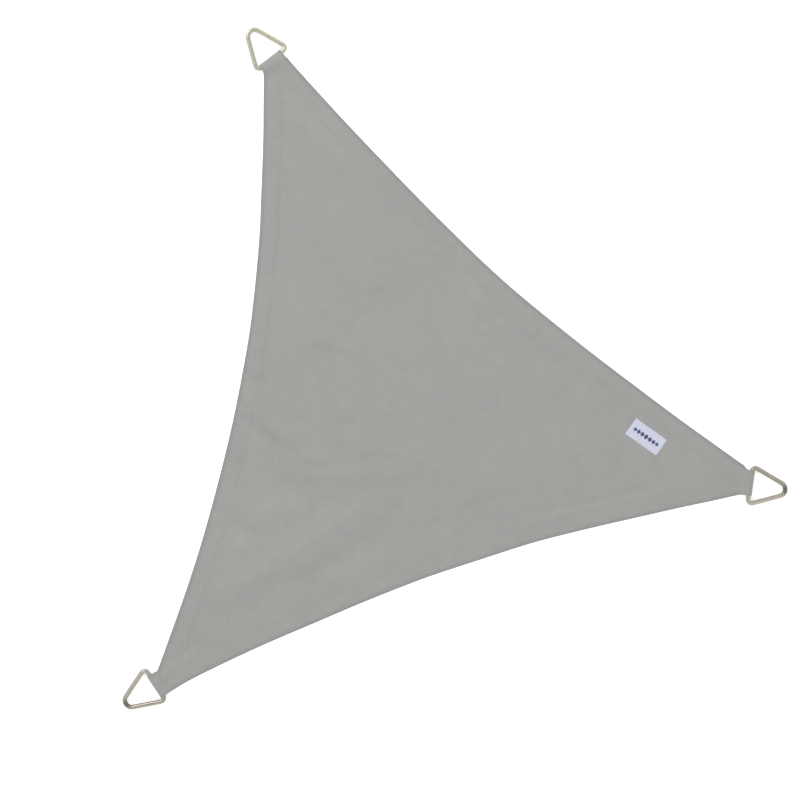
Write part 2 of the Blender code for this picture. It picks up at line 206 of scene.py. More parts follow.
folds = {
    "fade": (0.015, 0.080),  # no lift by the edges
    "fineFade": (0.000, 0.030),
    "leastLift": 0.0006,  # what would lift less lies flat
    "end": 0.2,
    "labelFlat": (0.08, 0.15),
    "paintedShadeOf": (0.16, 0.33),  # how strongly shade is painted along the main folds and the small creases
    # x, y, radius, height
    "swells": (
        (0.56, 0.33, 0.30, 0.0050),
        (0.82, 0.52, 0.30, 0.0030),
        (1.25, 0.42, 0.28, 0.0022),
        (0.95, 1.02, 0.30, 0.0018),
    ),
    # from x, y, to x, y, bend aside, width, height: the main folds
    "main": (
        (0.30, 0.19, 0.86, 0.29, -0.030, 0.034, -0.0045),
        (0.31, 0.24, 0.78, 0.36, 0.000, 0.030, 0.0040),
        (0.60, 0.17, 0.84, 0.21, -0.004, 0.026, 0.0038),
        (0.47, 0.43, 0.64, 0.38, 0.006, 0.034, 0.0028),
        (0.53, 0.71, 0.68, 0.54, -0.010, 0.024, -0.0024),
        (0.57, 0.49, 0.99, 0.34, -0.012, 0.022, -0.0026),
        (0.60, 0.52, 0.96, 0.38, -0.010, 0.026, 0.0020),
        (0.75, 0.84, 0.92, 0.73, 0.018, 0.026, 0.0020),
        (0.82, 0.52, 0.95, 0.61, 0.000, 0.024, 0.0018),
        (0.90, 0.24, 1.25, 0.26, -0.006, 0.022, -0.0018),
        (1.22, 0.15, 1.55, 0.13, 0.002, 0.022, 0.0020),
        (0.93, 1.58, 1.10, 1.18, 0.010, 0.026, 0.0026),
        (1.30, 0.84, 1.54, 0.44, -0.012, 0.030, 0.0024),
        (1.18, 1.00, 1.24, 0.92, 0.000, 0.022, 0.0014),
    ),
    # the same columns: the small creases
    "fine": (
        (0.06, 0.07, 0.12, 0.07, 0.000, 0.016, 0.0008),
        (0.14, 0.09, 0.20, 0.09, 0.004, 0.012, 0.0014),
        (0.18, 0.15, 0.22, 0.10, 0.004, 0.010, -0.0008),
        (0.30, 0.22, 0.39, 0.19, 0.000, 0.014, 0.0004),
        (0.28, 0.19, 0.46, 0.22, -0.004, 0.014, -0.0011),
        (0.42, 0.22, 0.60, 0.21, 0.004, 0.018, -0.0018),
        (0.48, 0.186, 0.82, 0.20, 0.002, 0.008, 0.0003),
        (0.54, 0.28, 0.68, 0.32, 0.000, 0.013, 0.0016),
        (0.68, 0.32, 0.78, 0.345, 0.000, 0.018, 0.0017),
        (0.41, 0.37, 0.42, 0.34, 0.000, 0.018, 0.0019),
        (0.46, 0.39, 0.53, 0.35, 0.000, 0.016, -0.0002),
        (0.41, 0.42, 0.47, 0.37, 0.000, 0.014, -0.0019),
        (0.48, 0.44, 0.63, 0.39, 0.006, 0.032, 0.0028),
        (0.68, 0.40, 0.81, 0.375, 0.000, 0.018, -0.0013),
        (0.81, 0.386, 0.95, 0.345, 0.000, 0.020, 0.0008),
        (0.86, 0.34, 0.89, 0.30, 0.000, 0.014, -0.0010),
        (0.69, 0.465, 0.80, 0.44, 0.000, 0.014, 0.0003),
        (0.66, 0.51, 0.72, 0.485, 0.000, 0.009, -0.0016),
        (0.73, 0.55, 0.79, 0.515, 0.000, 0.010, -0.0009),
        (0.83, 0.48, 0.92, 0.44, 0.000, 0.010, -0.0013),
        (0.495, 0.63, 0.485, 0.565, 0.000, 0.022, -0.0018),
        (0.56, 0.68, 0.67, 0.532, -0.010, 0.011, -0.0013),
        (0.61, 0.65, 0.68, 0.60, 0.000, 0.016, 0.0003),
        (0.75, 0.61, 0.84, 0.57, 0.004, 0.011, -0.0012),
        (0.53, 0.70, 0.56, 0.68, 0.000, 0.010, -0.0018),
        (0.59, 0.79, 0.64, 0.77, 0.002, 0.010, -0.0016),
        (0.665, 0.94, 0.675, 0.885, 0.000, 0.014, -0.0009),
        (0.76, 0.82, 0.855, 0.786, 0.010, 0.014, -0.0022),
        (0.855, 0.784, 0.91, 0.737, 0.004, 0.013, -0.0013),
        (0.85, 0.805, 0.93, 0.765, 0.004, 0.010, 0.0004),
        (0.79, 1.032, 0.83, 1.044, 0.000, 0.010, -0.0008),
        (0.997, 0.918, 1.042, 0.909, 0.000, 0.009, -0.0011),
        (0.96, 1.49, 1.055, 1.307, 0.000, 0.014, 0.0006),
        (0.97, 1.21, 1.02, 1.14, 0.003, 0.010, 0.0008),
        (1.173, 0.992, 1.23, 0.93, 0.002, 0.011, -0.0017),
        (1.315, 0.784, 1.37, 0.68, 0.000, 0.014, -0.0007),
        (1.37, 0.675, 1.468, 0.545, -0.004, 0.016, -0.0019),
        (1.468, 0.545, 1.568, 0.41, -0.003, 0.014, -0.0009),
        (0.90, 0.24, 1.25, 0.26, -0.006, 0.022, 0.0008),
        (0.87, 0.23, 1.04, 0.245, -0.002, 0.009, -0.0007),
        (1.04, 0.245, 1.235, 0.254, -0.002, 0.009, -0.0010),
        (1.19, 0.15, 1.70, 0.105, -0.003, 0.010, 0.0004),
        (1.20, 0.17, 1.58, 0.136, -0.003, 0.010, -0.0013),
    ),
    # wavelength, height: the soft crumple all over
    "crumple": ((0.110, 0.0011), (0.048, 0.0006)),
    "crumpleRise": 0.0007,  # keeps its troughs off the surface
}


def foldShare(fold, place):  # 1 on the fold's line, fading out round it
    x0, y0, x1, y1, bend, width = fold[:6]
    start = np.array((x0, y0))
    run = np.array((x1, y1)) - start
    share = (place - start) @ run / (run @ run)
    inside = np.clip(share, 0, 1)
    aside = np.array((-run[1], run[0])) / np.linalg.norm(run)
    middle = start + inside[:, None] * run + (bend * 4 * inside * (1 - inside))[:, None] * aside
    fade = smoothstep(share, -folds["end"], folds["end"])
    fade = fade * smoothstep(1 - share, -folds["end"], folds["end"])
    away = np.linalg.norm(place - middle, axis=1) / width
    return fade * np.exp(-(away**2))


def foldSum(rows, place):
    return sum(fold[6] * foldShare(fold, place) for fold in rows)


def crumple(place):
    total = np.zeros(len(place))
    for step, (length, height) in enumerate(folds["crumple"]):
        shift = Vector((3.1 * step, 7.7 * step, 1.3 + step))
        total += [
            height * noise.noise(Vector((x / length, y / length, 0.0)) + shift)
            for x, y in place
        ]
    return total


def lift(place):  # how far the cloth's underside lies above the surface
    height = foldSum(folds["main"], place)
    for x, y, radius, top in folds["swells"]:
        away = np.linalg.norm(place - np.array((x, y)), axis=1) / radius
        height = height + top * np.exp(-(away**2))
    depth = depthInside(place)
    label = np.linalg.norm(place - np.array(outline["labelAt"]), axis=1)
    flat = smoothstep(label, *folds["labelFlat"])
    height = height * flat * smoothstep(depth, *folds["fade"])
    fine = foldSum(folds["fine"], place) + crumple(place) + folds["crumpleRise"]
    fine = fine * flat * smoothstep(depth, *folds["fineFade"])
    return np.maximum(np.maximum(height - folds["leastLift"], 0) + fine, 0)


def foldPaintedShade(place):  # painted shade: ridges painted a little lighter and troughs darker, the more the sharper
    return sum(
        strength * fold[6] / fold[5] * foldShare(fold, place)
        for strength, rows in zip(folds["paintedShadeOf"], (folds["main"], folds["fine"]))
        for fold in rows
    )


def cornerFrame(corner):  # the bar's middle, the way its ring points, the way to its left
    heading, setback, aside = outline["corners"][corner][:3]
    ahead = np.array((math.cos(math.radians(heading)), math.sin(math.radians(heading))))
    left = np.array((-ahead[1], ahead[0]))
    return points[corner] - ahead * setback - left * aside, ahead, left


# finished meshes become objects at the origin, in the frame's own coordinates
def finishPiece(name, bm, material, node=None):
    bmesh.ops.translate(bm, verts=bm.verts[:], vec=(*planShift, 0.0))
    mesh = bpy.data.meshes.new(name)
    bm.to_mesh(mesh)
    bm.free()
    mesh.shade_smooth()
    mesh.materials.append(material)
    piece = bpy.data.objects.new(name, mesh)
    bpy.context.scene.collection.objects.link(piece)
    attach(piece, "root")
    if node:
        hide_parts(node)
    return piece


# small help for node materials
class Shader:
    def __init__(self, name):
        self.material = bpy.data.materials.new(name)
        self.material.use_nodes = True
        self.tree = self.material.node_tree
        self.principled = self.tree.nodes["Principled BSDF"]
        self.place = self.add("ShaderNodeTexCoord").outputs["Object"]

    def add(self, kind, **settings):
        node = self.tree.nodes.new(kind)
        for key, value in settings.items():
            setattr(node, key, value)
        return node

    def feed(self, node, **values):  # sockets by name, from a value or another socket
        for key, value in values.items():
            socket = node.inputs[key.replace("_", " ")]
            if isinstance(value, bpy.types.NodeSocket):
                self.tree.links.new(value, socket)
            else:
                socket.default_value = value
        return node

    def math(self, operation, *values, clamp=False):
        node = self.add("ShaderNodeMath", operation=operation, use_clamp=clamp)
        for index, value in enumerate(values):
            if isinstance(value, bpy.types.NodeSocket):
                self.tree.links.new(value, node.inputs[index])
            else:
                node.inputs[index].default_value = value
        return node.outputs[0]

    def noise(self, scale, detail=3.0, roughness=0.5, stretch=None, turn=0.0):
        place = self.place
        if stretch:
            mapping = self.add("ShaderNodeMapping")
            mapping.inputs["Scale"].default_value = stretch
            mapping.inputs["Rotation"].default_value = (0, 0, math.radians(turn))
            self.tree.links.new(place, mapping.inputs["Vector"])
            place = mapping.outputs["Vector"]
        texture = self.feed(
            self.add("ShaderNodeTexNoise"),
            Vector=place, Scale=scale, Detail=detail, Roughness=roughness,
        )
        return texture.outputs[0]

    def bands(self, period, turn, distortion=0.0, detail=2.0):
        mapping = self.add("ShaderNodeMapping")
        mapping.inputs["Rotation"].default_value = (0, 0, math.radians(turn))
        self.tree.links.new(self.place, mapping.inputs["Vector"])
        texture = self.feed(
            self.add("ShaderNodeTexWave", wave_type="BANDS", bands_direction="X"),
            Vector=mapping.outputs["Vector"], Scale=math.tau / (20 * period),
            Distortion=distortion, Detail=detail, Detail_Scale=2.0,
        )
        return texture.outputs["Fac"]

    def tone(self, colour, shade):  # the colour times a number round 1
        mix = self.add("ShaderNodeVectorMath", operation="SCALE")
        mix.inputs[0].default_value = colour
        self.tree.links.new(shade, mix.inputs["Scale"])
        return mix.outputs[0]

    def attribute(self, name):
        return self.add("ShaderNodeAttribute", attribute_name=name).outputs["Fac"]

    def bump(self, height, distance, strength, normal=None):
        node = self.feed(
            self.add("ShaderNodeBump"), Height=height, Distance=distance, Strength=strength
        )
        if normal:
            self.tree.links.new(normal, node.inputs["Normal"])
        return node.outputs["Normal"]


cloth = {
    "rows": 170,
    "creaseCuts": 2,  # finer along the small creases
    "creaseNear": 0.2,
    "thick": 0.0010,
    "panelTop": 0.0012,
    "hem": 0.058,
    # inset from the edge, height of the outer face: over the hem, round the edge and back under
    "hemRows": (
        (0.0572, 0.00122),
        (0.0558, 0.00136),
        (0.0540, 0.00164),
        (0.0525, 0.00182),
        (0.0512, 0.00195),
        (0.0496, 0.00204),
        (0.0480, 0.00208),
        (0.0470, 0.00206),
        (0.0460, 0.00210),
        (0.0300, 0.00220),
        (0.0115, 0.00215),
        (0.0100, 0.00210),
        (0.0090, 0.00203),
        (0.0080, 0.00208),
        (0.0045, 0.00215),
        (0.0018, 0.00205),
        (0.0005, 0.00165),
        (0.0000, 0.00108),
        (0.0005, 0.00050),
        (0.0018, 0.00012),
        (0.0045, 0.00000),
        (0.0300, 0.00000),
        (0.0540, 0.00005),
    ),
    "edgeRow": 18,
    "barHeight": 0.0084,
    "root": 0.024,
    # reach from the bar's middle, height, share of the narrowing: from the root to the bar
    "pocketRows": (
        (-0.0225, 0.0027, 0.3),
        (-0.0185, 0.0042, 0.7),
        (-0.0140, 0.0070, 0.9),
        (-0.0095, 0.0106, 1.0),
    ),
    "pocketTurn": range(135, -91, -15),
    "underRows": ((-0.0080, 0.0, 1.0), (-0.0160, 0.0, 0.7), (-0.0236, 0.0, 0.0)),
    "paintedShadeReach": (-0.024, -0.018, -0.008, 0.0),  # from the pocket's root to the bar's middle, where the painted light and shade below is set
    "paintedPocketShades": {  # painted light and shade: how much lighter the cloth is painted at those places
        "left": (0.07, -0.015, -0.05, -0.03),
        "right": (0.06, 0.01, -0.075, -0.03),
        "top": (0.01, 0.01, 0.13, 0.055),
    },
    "paintedShadeAbove": 0.002,  # the pocket's underside gets none of the painted light and shade
    "pocketRim": 0.003,  # a pocket's sides are painted as dark as a hem this far inside its edge
    "rimWidth": 0.013,
    "rimPaintedShade": 0.16,  # painted shade: how much darker the very edge is painted, where the cloth rolls under
    "wale": 0.0034,
    "course": 0.0021,
    "knitTurn": 8.0,
    "shade": 0.77,  # what the patterns below are added to
    "colour": (0.305, 0.302, 0.293),
    "flat": (2.02, 1.80),
    "flatArea": 1.66,
}


def clothMaterial():
    shader = Shader("knitted shade cloth")
    wales = shader.bands(cloth["wale"], cloth["knitTurn"], distortion=0.6)
    courses = shader.bands(cloth["course"], cloth["knitTurn"] + 90, distortion=1.2)
    knit = shader.math("MULTIPLY", wales, shader.math("MULTIPLY_ADD", courses, 0.6, 0.4))
    broad = shader.noise(5.0, detail=4.0)
    blotch = shader.noise(26.0, detail=4.0, roughness=0.6)
    grain = shader.noise(260.0, detail=2.0)
    shade = cloth["shade"]
    for pattern, strength in ((broad, 0.10), (blotch, 0.12), (grain, 0.20), (knit, 0.05)):
        shade = shader.math("MULTIPLY_ADD", pattern, strength, shade)
    # painted shade of the folds and of the pockets, added to the cloth's tone
    for name in ("foldPaintedShade", "pocketPaintedShade"):
        shade = shader.math("ADD", shader.attribute(name), shade)
    # painted shade along the rolled edge, fading out over rimWidth
    inside = shader.math("DIVIDE", shader.attribute("fromEdge"), cloth["rimWidth"], clamp=True)
    rim = shader.math("MULTIPLY_ADD", inside, cloth["rimPaintedShade"], 1 - cloth["rimPaintedShade"])
    shade = shader.math("MULTIPLY", shade, rim)
    normal = shader.bump(blotch, 0.0016, 0.5)
    normal = shader.bump(knit, 0.0006, 0.7, normal)
    shader.feed(
        shader.principled,
        Base_Color=shader.tone(cloth["colour"], shade),
        Roughness=0.88,
        Normal=normal,
        Sheen_Weight=0.12,
        Sheen_Roughness=0.5,
    )
    shader.principled.inputs["Specular IOR Level"].default_value = 0.3
    return shader.material


def panelSheet():  # one triangle cut into a fine grid, each point keeping its shares of the tips
    bm = bmesh.new()
    kept = bm.verts.layers.float_vector.new("shares")
    bmesh.ops.create_circle(bm, cap_ends=True, segments=3, radius=1.0)
    bm.faces.ensure_lookup_table()
    tips = [vert.co.copy() for vert in bm.faces[0].verts]
    bmesh.ops.subdivide_edges(bm, edges=bm.edges[:], cuts=cloth["rows"] - 1, use_grid_fill=True)
    for vert in bm.verts:
        vert[kept] = barycentric_transform(vert.co, *tips, *Matrix.Identity(3))
    return bm


def refineCreases(bm):
    edges = [edge for edge in bm.edges if not edge.is_boundary]
    middles = np.array([(edge.verts[0].co.xy + edge.verts[1].co.xy) / 2 for edge in edges])
    strength = np.max([foldShare(fold, middles) for fold in folds["fine"]], axis=0)
    bmesh.ops.subdivide_edges(
        bm,
        edges=[edge for edge, near in zip(edges, strength > cloth["creaseNear"]) if near],
        cuts=cloth["creaseCuts"],
        use_grid_fill=True,
    )


def placeVerts(verts, place, height):
    for vert, (x, y), z in zip(verts, place, height):
        vert.co = (x, y, z)


def extrudeRow(bm, edges):
    made = bmesh.ops.extrude_edge_only(bm, edges=edges)["geom"]
    return (
        [item for item in made if isinstance(item, bmesh.types.BMEdge)],
        [item for item in made if isinstance(item, bmesh.types.BMVert)],
    )


def addPocket(bm, corner, row, fromEdge, pocketPaintedShade):  # a loop of cloth round the ring's bar
    bar, ahead, left = cornerFrame(corner)
    reachRight, reachLeft = outline["corners"][corner][3:]
    cut = bmesh.ops.bisect_plane(
        bm,
        geom=bm.verts[:] + bm.edges[:] + bm.faces[:],
        dist=1e-5,
        plane_co=(*(bar - ahead * cloth["root"]), 0.0),
        plane_no=(*ahead, 0.0),
        clear_outer=True,
    )["geom_cut"]
    edges = [
        item
        for item in cut
        if isinstance(item, bmesh.types.BMEdge)
        and max(vert[row] for vert in item.verts) <= cloth["edgeRow"] + 0.01
    ]
    sides = [(np.array(vert.co.xy) - bar) @ left for edge in edges for vert in edge.verts]
    rootEnds = (min(sides), max(sides))
    # painted light and shade along the pocket and over the bar
    paintedShades = cloth["paintedPocketShades"][corner]
    for edge in edges:
        for vert in edge.verts:
            vert[pocketPaintedShade] = paintedShades[0]
    radius = cloth["barHeight"]
    turn = [
        (radius * math.cos(math.radians(a)), radius + radius * math.sin(math.radians(a)), 1.0)
        for a in cloth["pocketTurn"]
    ]
    ends = rootEnds
    for reach, height, narrowed in (*cloth["pocketRows"], *turn, *cloth["underRows"]):
        edges, verts = extrudeRow(bm, edges)
        newEnds = (
            rootEnds[0] + (-reachRight - rootEnds[0]) * narrowed,
            rootEnds[1] + (reachLeft - rootEnds[1]) * narrowed,
        )
        for vert in verts:
            share = ((np.array(vert.co.xy) - bar) @ left - ends[0]) / (ends[1] - ends[0])
            side = newEnds[0] + share * (newEnds[1] - newEnds[0])
            vert.co = (*(bar + ahead * reach + left * side), height)
            vert[fromEdge] = min(side + reachRight, reachLeft - side) + cloth["pocketRim"]
            seen = height > cloth["paintedShadeAbove"]
            vert[pocketPaintedShade] = np.interp(reach, cloth["paintedShadeReach"], paintedShades) if seen else 0.0
        ends = newEnds


def makeCloth():
    bm = panelSheet()
    shares = bm.verts.layers.float_vector["shares"]
    row = bm.verts.layers.float.new("row")
    fromEdge = bm.verts.layers.float.new("fromEdge")
    pocketPaintedShade = bm.verts.layers.float.new("pocketPaintedShade")
    tone = bm.verts.layers.float.new("foldPaintedShade")
    place = panelPoint(np.array([vert[shares] for vert in bm.verts]), cloth["hem"])
    placeVerts(bm.verts, place, np.zeros(len(place)))
    refineCreases(bm)
    place = np.array([vert.co.xy for vert in bm.verts])
    placeVerts(bm.verts, place, cloth["panelTop"] + lift(place))
    # each point keeps the painted shade of the folds round it
    for vert, strength in zip(bm.verts, foldPaintedShade(place)):
        vert[fromEdge] = 1.0
        vert[tone] = strength
    edges = [edge for edge in bm.edges if edge.is_boundary]
    for number, (inset, height) in enumerate(cloth["hemRows"], start=1):
        edges, verts = extrudeRow(bm, edges)
        place = borderPoint(np.array([vert[shares] for vert in verts]), inset)
        placeVerts(verts, place, height + lift(place))
        for vert, strength in zip(verts, foldPaintedShade(place)):
            vert[row] = number
            vert[fromEdge] = inset
            vert[tone] = strength
    for corner in cornerNames:
        addPocket(bm, corner, row, fromEdge, pocketPaintedShade)
    bm.normal_update()
    if sum(face.normal.z * face.calc_area() for face in bm.faces) < 0:
        bmesh.ops.reverse_faces(bm, faces=bm.faces[:])
    piece = finishPiece("sailCloth", bm, clothMaterial(), "sail_cloth")
    sheet = piece.modifiers.new("sheet thickness", "SOLIDIFY")
    sheet.thickness = cloth["thick"]
    sheet.offset = -1.0
    return piece


sailCloth = makeCloth()
print("cloth:", len(sailCloth.data.polygons), "faces before its thickness")


ring = {
    "wire": 0.013,
    "width": 0.1145,
    "height": 0.115,
    "baseBend": 0.010,
    "tipBend": 0.020,
    "bendSteps": 24,
    "sides": 12,  # of the wire's section, over a half turn
    "colour": (0.64, 0.60, 0.50),
    # painted dark reflections: how much darker than the colour the right leg, the left leg, the
    # tip's bend and the wire's flanks are painted, in place of the darker surroundings the steel
    # would mirror
    "paintedDarkReflection": {
        "left": (0.10, 0.28, 0.62, 0.55),
        "right": (0.06, 0.26, 0.66, 0.55),
        "top": (0.00, 0.12, 0.10, 0.42),
    },
    "legBlend": 0.006,  # either side of the ring's middle line
    "tipTurn": (65.0, 10.0),  # either side of the tip, where the painted dark reflection on the bend fades
    "flank": (0.25, 0.65),  # share of the wire's half width over which the flanks' painted shade grows
}


def steelMaterial():
    shader = Shader("polished ring steel")
    cloudy = shader.noise(45.0, detail=4.0)
    fine = shader.noise(900.0, detail=2.0, stretch=(1.0, 0.25, 1.0), turn=20.0)
    shade = shader.math("MULTIPLY_ADD", cloudy, 0.16, 0.92)
    # painted dark reflections darken the steel's colour here
    shade = shader.math("MULTIPLY", shade, shader.math("SUBTRACT", 1.0, shader.attribute("paintedDarkReflection")))
    rough = shader.math("MULTIPLY_ADD", cloudy, 0.12, 0.16)
    rough = shader.math("MULTIPLY_ADD", fine, 0.12, rough)
    shader.feed(
        shader.principled,
        Base_Color=shader.tone(ring["colour"], shade),
        Metallic=1.0,
        Roughness=rough,
        Normal=shader.bump(fine, 0.0001, 0.25),
    )
    return shader.material


def beltLine(pulleys, steps):  # the closed line round the pulleys, counter-clockwise
    leaving = []
    for index, (x, y, radius) in enumerate(pulleys):
        nextX, nextY, nextRadius = pulleys[(index + 1) % len(pulleys)]
        span = math.hypot(nextX - x, nextY - y)
        heading = math.atan2(nextY - y, nextX - x)
        leaving.append(heading - math.acos((radius - nextRadius) / span))
    for index, (x, y, radius) in enumerate(pulleys):
        sweep = (leaving[index] - leaving[index - 1]) % math.tau
        for step in range(steps + 1):
            angle = leaving[index - 1] + sweep * step / steps
            yield x + radius * math.cos(angle), y + radius * math.sin(angle)


def makeRing(corner, material):
    halfBar = (ring["width"] - ring["wire"]) / 2 - ring["baseBend"]
    reach = ring["height"] - ring["wire"]
    line = list(beltLine(
        (
            (ring["baseBend"], -halfBar, ring["baseBend"]),
            (reach - ring["tipBend"], 0.0, ring["tipBend"]),
            (ring["baseBend"], halfBar, ring["baseBend"]),
        ),
        ring["bendSteps"],
    ))
    curve = bpy.data.curves.new(f"ring {corner} line", "CURVE")
    curve.dimensions = "3D"
    curve.bevel_depth = ring["wire"] / 2
    curve.bevel_resolution = ring["sides"]
    spline = curve.splines.new("POLY")
    spline.points.add(len(line) - 1)
    for point, (x, y) in zip(spline.points, line):
        point.co = (x, y, 0.0, 1.0)
    spline.use_cyclic_u = True
    drawn = bpy.data.objects.new(f"ring {corner} line", curve)
    bpy.context.scene.collection.objects.link(drawn)
    bpy.context.view_layer.update()
    mesh = drawn.evaluated_get(bpy.context.evaluated_depsgraph_get()).to_mesh()
    bm = bmesh.new()
    bm.from_mesh(mesh)
    bpy.data.objects.remove(drawn)
    bmesh.ops.remove_doubles(bm, verts=bm.verts[:], dist=1e-6)
    bmesh.ops.recalc_face_normals(bm, faces=bm.faces[:])
    paintedDarkLayer = bm.verts.layers.float.new("paintedDarkReflection")
    right, left, tip, flank = ring["paintedDarkReflection"][corner]
    # painted dark reflection on each leg, on the tip's bend and on the wire's flanks
    for vert in bm.verts:
        side = smoothstep(vert.co.y, -ring["legBlend"], ring["legBlend"])
        legs = right + (left - right) * side
        turned = abs(math.atan2(vert.co.y, vert.co.x - reach + ring["tipBend"]))
        near = smoothstep(math.degrees(turned), *ring["tipTurn"])
        aside = math.sqrt(max(0.0, 1 - (vert.co.z / ring["wire"] * 2) ** 2))
        flankUnshaded = 1 - flank * smoothstep(aside, *ring["flank"])
        vert[paintedDarkLayer] = 1 - (1 - legs - (tip - legs) * near) * flankUnshaded
    bar = cornerFrame(corner)[0]
    pitch = math.asin((cloth["barHeight"] - ring["wire"] / 2) / reach)
    turn = Matrix.Rotation(math.radians(outline["corners"][corner][0]), 4, "Z")
    place = Matrix.Translation((*bar, cloth["barHeight"])) @ turn @ Matrix.Rotation(pitch, 4, "Y")
    bmesh.ops.transform(bm, matrix=place, verts=bm.verts[:])
    return finishPiece(f"ring{corner.title()}", bm, material, f"ring_{corner}")


steel = steelMaterial()
rings = [makeRing(corner, steel) for corner in cornerNames]
print("rings:", ", ".join(piece.name for piece in rings))


stitching = {
    "length": 0.0042,
    "pitch": 0.0056,
    "radius": 0.00035,
    "raised": 0.3,  # share of the radius
    "samples": 1200,  # along each hem
    "hemInsets": (0.0525, 0.0470, 0.0090),
    "clear": 0.003,  # from the pockets' roots
    "pocketRows": (-0.0200, -0.0250),
    "pocketSamples": 40,
    "pocketClear": 0.004,  # from the pockets' ends
    "colour": (0.350, 0.345, 0.335),
}


def threadMaterial(name, colour):
    shader = Shader(name)
    twist = shader.bands(0.0009, 40.0)
    shade = shader.math("MULTIPLY_ADD", twist, 0.25, 0.85)
    shader.feed(
        shader.principled,
        Base_Color=shader.tone(colour, shade),
        Roughness=0.6,
        Normal=shader.bump(twist, 0.0002, 0.6),
    )
    return shader.material


def stitchRow(path, heights, spec):  # where each stitch lies, and the way it runs
    steps = np.linalg.norm(np.diff(path, axis=0), axis=1)
    travelled = np.concatenate(((0.0,), np.cumsum(steps)))
    count = int(travelled[-1] // spec["pitch"])
    at = (np.arange(count) + 0.5) * travelled[-1] / count
    x, y, z = (np.interp(at, travelled, line) for line in (path[:, 0], path[:, 1], heights))
    reach = spec["pitch"] / 4
    run = [
        np.interp(at + reach, travelled, path[:, axis])
        - np.interp(at - reach, travelled, path[:, axis])
        for axis in (0, 1)
    ]
    return np.stack((x, y, z, np.arctan2(run[1], run[0])), axis=1)


def stitchMesh(rows, spec):  # one bead for each stitch
    bead = bmesh.new()
    bmesh.ops.create_uvsphere(bead, u_segments=6, v_segments=3, radius=1.0)
    size = (spec["length"] / 2, spec["radius"], spec["radius"])
    verts = np.array([vert.co for vert in bead.verts]) * size
    faces = [[vert.index for vert in face.verts] for face in bead.faces]
    bead.free()
    x, y, z, heading = np.concatenate(rows).T[:, :, None]
    placed = np.stack(
        (
            x + verts[:, 0] * np.cos(heading) - verts[:, 1] * np.sin(heading),
            y + verts[:, 0] * np.sin(heading) + verts[:, 1] * np.cos(heading),
            z + verts[:, 2],
        ),
        axis=2,
    )
    mesh = bpy.data.meshes.new("stitches")
    mesh.from_pydata(
        placed.reshape(-1, 3),
        [],
        [[index + len(verts) * n for index in face] for n in range(len(x)) for face in faces],
    )
    bm = bmesh.new()
    bm.from_mesh(mesh)
    bpy.data.meshes.remove(mesh)
    return bm


def hemHeight(inset):
    rows = cloth["hemRows"][: cloth["edgeRow"]][::-1]
    return float(np.interp(inset, [row[0] for row in rows], [row[1] for row in rows]))


def pocketHeight(reach):  # from the hem's top at the pocket's root up towards the bar
    rows = ((-cloth["root"], max(row[1] for row in cloth["hemRows"])), *cloth["pocketRows"])
    return float(np.interp(reach, [row[0] for row in rows], [row[1] for row in rows]))


def makeStitching():
    rows = []
    for start in cornerNames:
        for inset in stitching["hemInsets"]:
            path = hemPoint(start, np.linspace(0, 1, stitching["samples"]), inset)
            keep = np.ones(len(path), dtype=bool)
            for corner in cornerNames:
                bar, ahead, _ = cornerFrame(corner)
                keep &= (path - bar) @ ahead < -cloth["root"] - stitching["clear"]
            path = path[keep]
            raised = stitching["radius"] * stitching["raised"]
            heights = hemHeight(inset) + lift(path) + raised
            rows.append(stitchRow(path, heights, stitching))
    for corner in cornerNames:
        bar, ahead, left = cornerFrame(corner)
        reachRight, reachLeft = outline["corners"][corner][3:]
        clear = stitching["pocketClear"]
        sides = np.linspace(clear - reachRight, reachLeft - clear, stitching["pocketSamples"])
        for reach in stitching["pocketRows"]:
            path = bar + ahead * reach + sides[:, None] * left
            heights = np.full(len(path), pocketHeight(reach))
            rows.append(stitchRow(path, heights, stitching))
    bm = stitchMesh(rows, stitching)
    return finishPiece(
        "hemStitching", bm, threadMaterial("grey thread", stitching["colour"])
    )


hemStitching = makeStitching()
print("stitching:", len(hemStitching.data.polygons), "faces")


label = {
    "length": 0.109,
    "width": 0.055,
    "thick": 0.0006,
    "top": 0.0020,
    "sink": 0.0003,  # along the sewn border
    "sinkWidth": 0.0016,
    "border": 0.004,
    "ripple": 0.00015,
    "cuts": (44, 22),
    "colour": (0.540, 0.555, 0.670),
    "stitch": {"pitch": 0.0032, "length": 0.0024, "radius": 0.00028},
    "stitchSamples": 20,  # along each side
    "threadColour": (0.70, 0.70, 0.74),
    # middle along the label, half length, half width of each woven lozenge
    "lozenges": (
        (-0.0375, 0.0056, 0.0062),
        (-0.0257, 0.0062, 0.0072),
        (-0.0132, 0.0064, 0.0080),
        (0.0000, 0.0068, 0.0090),
        (0.0132, 0.0064, 0.0080),
        (0.0257, 0.0062, 0.0072),
        (0.0375, 0.0056, 0.0062),
    ),
    "lozengeSink": 0.0002,
    "lozengeSteps": ((0.0004, 0.0003), (0.0008, 0.0001)),  # inset and rise of each
    "lozengeColour": (0.055, 0.062, 0.17),
}


def labelPlace():
    turn = Matrix.Rotation(math.radians(outline["labelTurn"]), 4, "Z")
    return Matrix.Translation((*outline["labelAt"], 0.0)) @ turn


def labelMaterial():
    shader = Shader("white woven tape")
    warp = shader.bands(0.0009, 54.0)
    weft = shader.bands(0.0007, 144.0)
    weave = shader.math("MULTIPLY", warp, weft)
    shade = shader.math("MULTIPLY_ADD", shader.noise(60.0), 0.08, 0.91)
    shade = shader.math("MULTIPLY_ADD", weave, 0.10, shade)
    shader.feed(
        shader.principled,
        Base_Color=shader.tone(label["colour"], shade),
        Roughness=0.7,
        Normal=shader.bump(weave, 0.0002, 0.5),
        Sheen_Weight=0.1,
    )
    return shader.material


